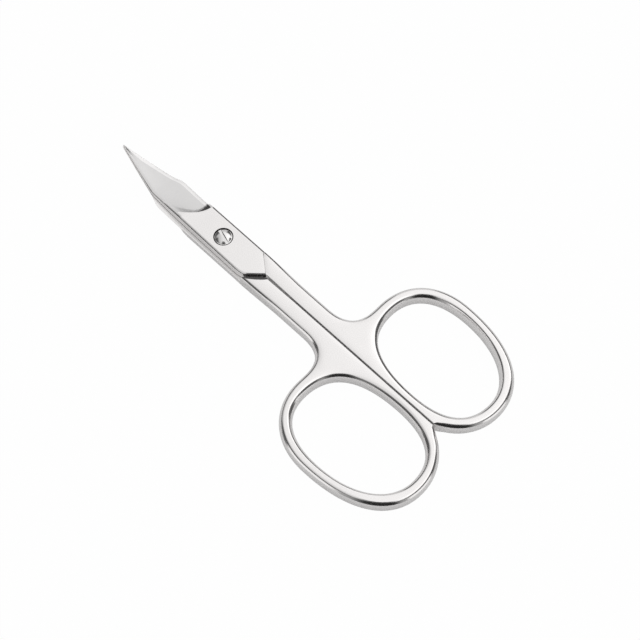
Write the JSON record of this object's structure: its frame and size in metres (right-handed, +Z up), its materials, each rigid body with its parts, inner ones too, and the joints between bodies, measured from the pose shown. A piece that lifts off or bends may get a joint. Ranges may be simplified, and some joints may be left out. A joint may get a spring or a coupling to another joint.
{
  "type": "curved nail scissors",
  "caption": "Curved nail scissors: polished steel halves with oval finger rings cross at a slotted screw, and slim hollow-ground blades sweep up to fine tips.",
  "frame": {"origin": "middle of the closed scissors' box in plan, on the surface that they lie on", "axes": "+Y along the scissors to the blade tips, +Z up to the screw head's side, +X to the finger ring of the half with the screw head"},
  "size_m": [0.0446, 0.0896, 0.0059],
  "materials": {
    "lower_half_steel": "mirror-polished handle and plate, satin hollow-ground blade",
    "upper_half_steel": "mirror-polished handle and plate, satin hollow-ground blade",
    "pivot_screw_steel": "polished domed head with a sawn slot"
  },
  "bodies": {
    "lower_body": {"lower_half": "lower_half_steel", "pivot_screw": "pivot_screw_steel"},
    "upper_body": {"upper_half": "upper_half_steel"}
  },
  "joints": [
    {"name": "pivot", "type": "hinge", "parent": "lower_body", "child": "upper_body", "pos_m": [0.00025, 0.017, 0.0019], "axis": [0, 0, 1], "range_deg": [0, 70]}
  ]
}
